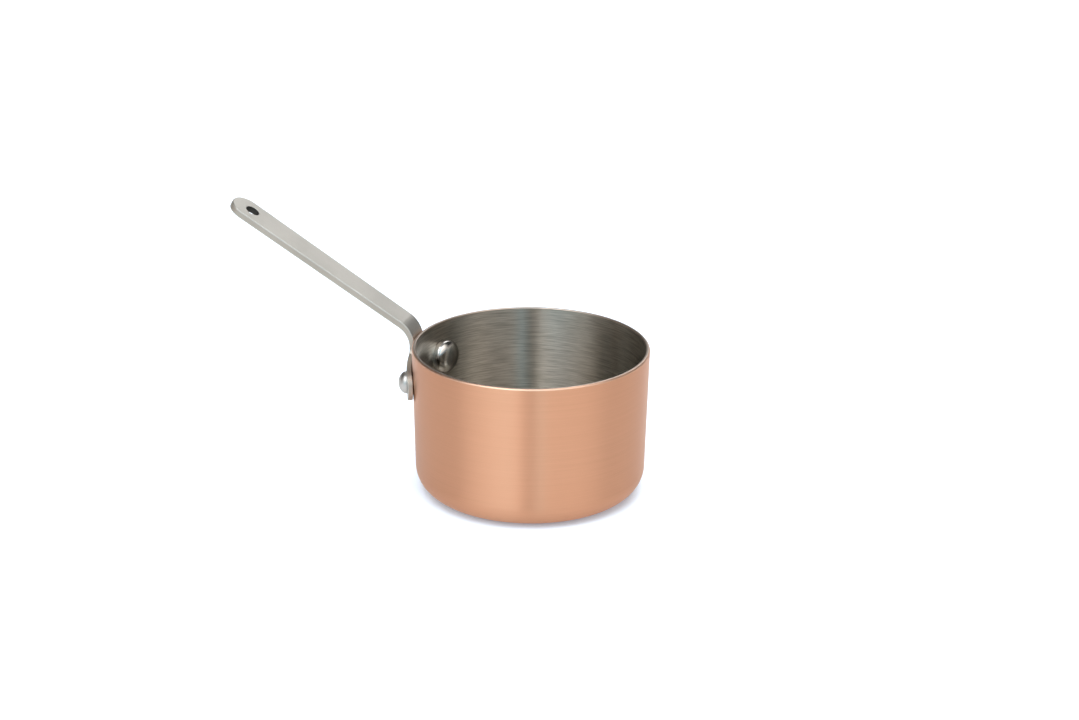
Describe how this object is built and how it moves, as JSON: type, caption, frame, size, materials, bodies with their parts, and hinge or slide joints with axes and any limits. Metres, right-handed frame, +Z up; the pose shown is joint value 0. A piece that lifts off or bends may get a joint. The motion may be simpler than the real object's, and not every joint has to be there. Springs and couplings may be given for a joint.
{
  "type": "copper saucepan",
  "caption": "Small straight-sided copper saucepan with a bonded stainless lining and a riveted flat strap handle that rises to a round tip with a hanging hole.",
  "frame": {"origin": "middle of the flat base, on the pan's axis, at the face it stands on", "axes": "+Z up along the pan's axis; the handle points along -X and rises from the rim, so +X points away from the handle; Y across"},
  "size_m": [0.1659, 0.09, 0.1036],
  "materials": {
    "copper": "fine circumferential brushing with a polished rim",
    "lining_steel": "circumferential brushing",
    "handle_steel": "satin",
    "rivet_steel": "polished"
  },
  "bodies": {
    "root": {"copper_shell": "copper", "steel_lining": "lining_steel", "handle": "handle_steel", "rivet_front": "rivet_steel", "rivet_back": "rivet_steel"}
  },
  "joints": []
}
